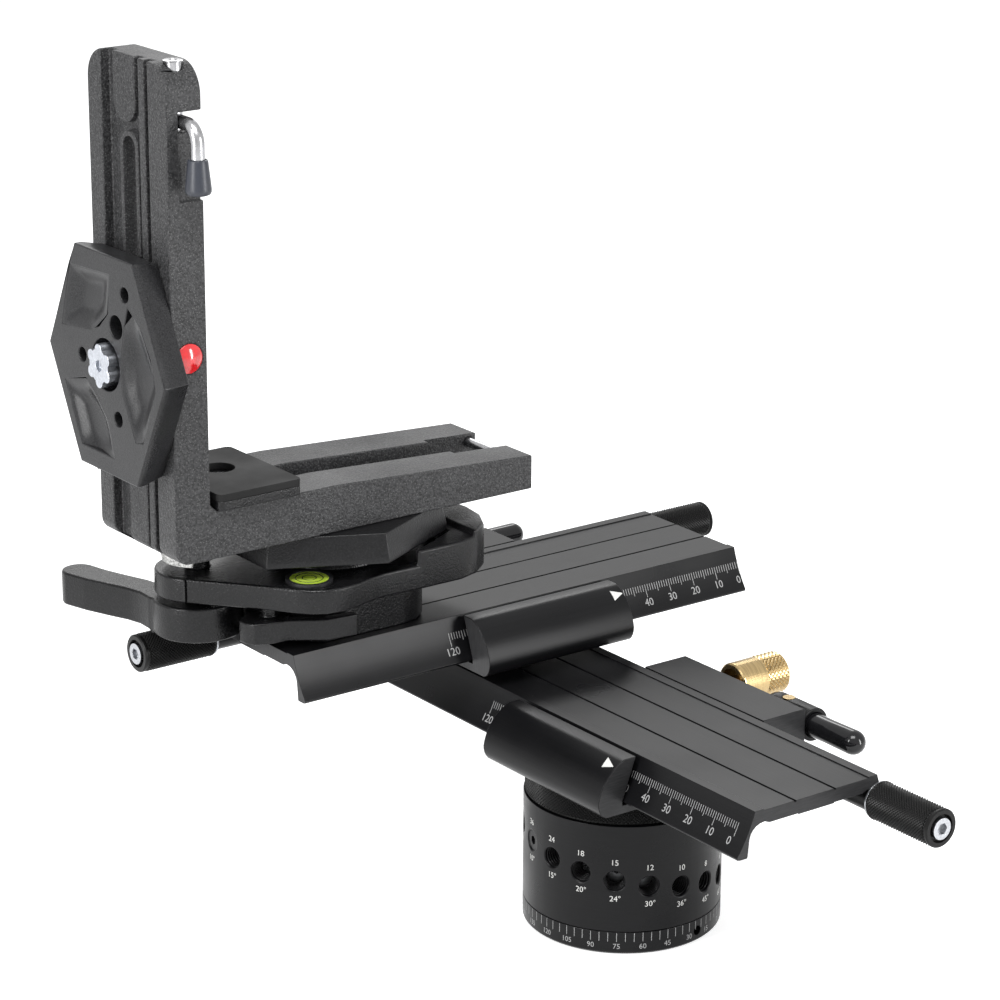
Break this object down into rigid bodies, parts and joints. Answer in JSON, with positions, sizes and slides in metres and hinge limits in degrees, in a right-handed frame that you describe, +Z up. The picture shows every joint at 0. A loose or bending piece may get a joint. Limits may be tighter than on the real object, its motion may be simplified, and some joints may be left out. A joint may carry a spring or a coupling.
{
  "type": "multi-row panoramic head",
  "caption": "Panoramic camera head with an indexed rotation unit, crossed micrometric slides, a hexagonal quick release and an L-bracket.",
  "frame": {"origin": "centre of the tripod thread's mouth, on the pan axis at the underside of the base", "axes": "+Z up along the pan axis, +X along the upper slide away from the L-bracket, +Y along the lower slide towards the bracket"},
  "size_m": [0.2572, 0.2558, 0.2785],
  "materials": {
    "powder_coat": "fine-grain dark grey powder coat",
    "casting": "black textured casting",
    "anodised": "black anodised extrusion, brushed lengthwise",
    "black_metal": "black anodised, knurled or turned",
    "steel": "zinc plated",
    "core_metal": "bare turned",
    "cam_metal": "matt silver casting",
    "brass": "turned and knurled",
    "bronze": "plain",
    "black_plastic": "gloss",
    "rubber": "ribbed",
    "blue_black_rubber": "matt",
    "level_black": "matt",
    "level_fluid": "yellow-green fluid under a clear lens",
    "red": "gloss dome"
  },
  "bodies": {
    "base": {"base_ring": "black_metal", "base_set_screw": "steel", "index_core": "core_metal", "spindle": "steel", "spindle_nut": "steel"},
    "turntable": {"drum": "anodised", "brake_shoe": "bronze", "plunger_body": "steel", "plunger_spring": "steel", "lower_clamp": "anodised", "lower_clamp_screws": "steel", "lower_nut_spring": "steel"},
    "lock_ring": {"lock_ring": "black_metal"},
    "index_pin": {"index_pin": "steel"},
    "lower_carriage": {"lower_plate": "anodised", "lower_washers": "steel", "spacer": "black_metal", "upper_clamp": "anodised", "upper_clamp_bolts": "steel", "upper_nut_spring": "steel"},
    "upper_carriage": {"upper_plate": "anodised", "upper_washers": "steel", "adapter_body": "casting", "adapter_screw": "steel", "bubble_housing": "level_black", "bubble_vial": "level_fluid", "l_bracket": "powder_coat", "arm_hex_plate": "casting", "arm_plate_screw": "steel", "badge": "red", "cross_bar": "steel"},
    "lower_screw": {"lower_lead_screw": "steel", "lower_screw_knobs": "black_metal", "lower_knob_screws": "steel"},
    "lower_nut": {"lower_half_nut": "bronze", "lower_lever_pin": "brass"},
    "lower_lever": {"lower_lever_bar": "black_metal", "lower_lever_grip": "black_plastic"},
    "lower_lock_knob": {"lower_lock_knob": "brass"},
    "lower_shoe": {"lower_lock_shoe": "bronze"},
    "upper_screw": {"upper_lead_screw": "steel", "upper_screw_knobs": "black_metal", "upper_knob_screws": "steel"},
    "upper_nut": {"upper_half_nut": "bronze", "upper_lever_pin": "brass"},
    "upper_lever": {"upper_lever_bar": "black_metal", "upper_lever_grip": "black_plastic"},
    "upper_lock_knob": {"upper_lock_knob": "brass"},
    "upper_shoe": {"upper_lock_shoe": "bronze"},
    "lock_lever": {"lock_lever": "casting", "lock_cam": "cam_metal"},
    "safety_lever": {"safety_lever": "casting"},
    "side_plate": {"side_hex_plate": "casting"},
    "star_screw": {"star_screw": "steel"},
    "camera_plate": {"camera_plate": "casting", "camera_pad": "rubber"},
    "camera_screw": {"camera_screw": "steel"},
    "pin_lever": {"pin_lever": "steel", "lever_sleeve": "blue_black_rubber"}
  },
  "joints": [
    {"name": "pan", "type": "hinge", "parent": "base", "child": "turntable", "pos_m": [0, 0, 0.0077], "axis": [0, 0, 1], "continuous": true},
    {"name": "lock_ring_turn", "type": "hinge", "parent": "turntable", "child": "lock_ring", "pos_m": [0, 0, 0.047], "axis": [0, 0, 1], "range_deg": [0, 45]},
    {"name": "index_pin_slide", "type": "slide", "parent": "turntable", "child": "index_pin", "axis": [-0.9744, 0.225, 0], "range_m": [0, 0.001], "stiffness_N_per_m": 100, "springref_m": -0.001},
    {"name": "lower_slide", "type": "slide", "parent": "turntable", "child": "lower_carriage", "axis": [0, 1, 0], "range_m": [-0.064, 0.05]},
    {"name": "lower_screw_turn", "type": "hinge", "parent": "lower_carriage", "child": "lower_screw", "pos_m": [0.029, -0.00365, 0.0611], "axis": [0, 1, 0], "range_deg": [-7800, 6100]},
    {"name": "lower_nut_slide", "type": "slide", "parent": "turntable", "child": "lower_nut", "axis": [1, 0, 0], "range_m": [0, 0.0044], "deforming": ["lower_nut_spring"]},
    {"name": "lower_lever_swing", "type": "hinge", "parent": "lower_nut", "child": "lower_lever", "pos_m": [0.052, -0.0185, 0.062], "axis": [0, 0, 1], "range_deg": [0, 60]},
    {"name": "lower_lock_knob_turn", "type": "hinge", "parent": "turntable", "child": "lower_lock_knob", "pos_m": [0.0371, 0.007, 0.0645], "axis": [-1, 0, 0], "range_deg": [0, 180]},
    {"name": "lower_shoe_slide", "type": "slide", "parent": "turntable", "child": "lower_shoe", "axis": [-1, 0, 0], "range_m": [0, 0.00025]},
    {"name": "upper_slide", "type": "slide", "parent": "lower_carriage", "child": "upper_carriage", "axis": [1, 0, 0], "range_m": [-0.053, 0.06]},
    {"name": "upper_screw_turn", "type": "hinge", "parent": "upper_carriage", "child": "upper_screw", "pos_m": [0.0041, 0.1021, 0.0823], "axis": [1, 0, 0], "range_deg": [-6500, 7300]},
    {"name": "upper_nut_slide", "type": "slide", "parent": "lower_carriage", "child": "upper_nut", "axis": [0, 1, 0], "range_m": [0, 0.0044], "deforming": ["upper_nut_spring"]},
    {"name": "upper_lever_swing", "type": "hinge", "parent": "upper_nut", "child": "upper_lever", "pos_m": [0.01895, 0.1251, 0.0832], "axis": [0, 0, 1], "range_deg": [0, 60]},
    {"name": "upper_lock_knob_turn", "type": "hinge", "parent": "lower_carriage", "child": "upper_lock_knob", "pos_m": [-0.00655, 0.1102, 0.0857], "axis": [0, -1, 0], "range_deg": [0, 180]},
    {"name": "upper_shoe_slide", "type": "slide", "parent": "lower_carriage", "child": "upper_shoe", "axis": [0, -1, 0], "range_m": [0, 0.00025]},
    {"name": "lock_lever_swing", "type": "hinge", "parent": "upper_carriage", "child": "lock_lever", "pos_m": [-0.1, 0.09, 0.0967], "axis": [0, 0, 1], "range_deg": [0, 70]},
    {"name": "safety_lever_swing", "type": "hinge", "parent": "upper_carriage", "child": "safety_lever", "pos_m": [-0.089, 0.066, 0.1], "axis": [0, 0, -1], "range_deg": [0, 20]},
    {"name": "side_plate_slide", "type": "slide", "parent": "upper_carriage", "child": "side_plate", "axis": [0, 0, 1], "range_m": [-0.02, 0.05]},
    {"name": "star_screw_turn", "type": "hinge", "parent": "side_plate", "child": "star_screw", "pos_m": [-0.1327, 0.0772, 0.1862], "axis": [-1, 0, 0], "range_deg": [0, 360]},
    {"name": "camera_plate_slide", "type": "slide", "parent": "upper_carriage", "child": "camera_plate", "axis": [1, 0, 0], "range_m": [0, 0.012]},
    {"name": "camera_screw_rise", "type": "slide", "parent": "camera_plate", "child": "camera_screw", "axis": [0, 0, 1], "range_m": [0, 0.004]},
    {"name": "pin_lever_swing", "type": "hinge", "parent": "upper_carriage", "child": "pin_lever", "pos_m": [-0.1219, 0.0608, 0.2609], "axis": [0, 0, 1], "range_deg": [0, 90]}
  ],
  "couplings": [
    {"joint": "lower_screw_turn", "follows": "lower_slide", "rad_per_m": 2094.4},
    {"joint": "lower_lever_swing", "follows": "lower_nut_slide", "rad_per_m": 238},
    {"joint": "lower_lock_knob_turn", "follows": "lower_shoe_slide", "rad_per_m": 12566},
    {"joint": "upper_screw_turn", "follows": "upper_slide", "rad_per_m": 2094.4},
    {"joint": "upper_lever_swing", "follows": "upper_nut_slide", "rad_per_m": 238},
    {"joint": "upper_lock_knob_turn", "follows": "upper_shoe_slide", "rad_per_m": 12566}
  ]
}
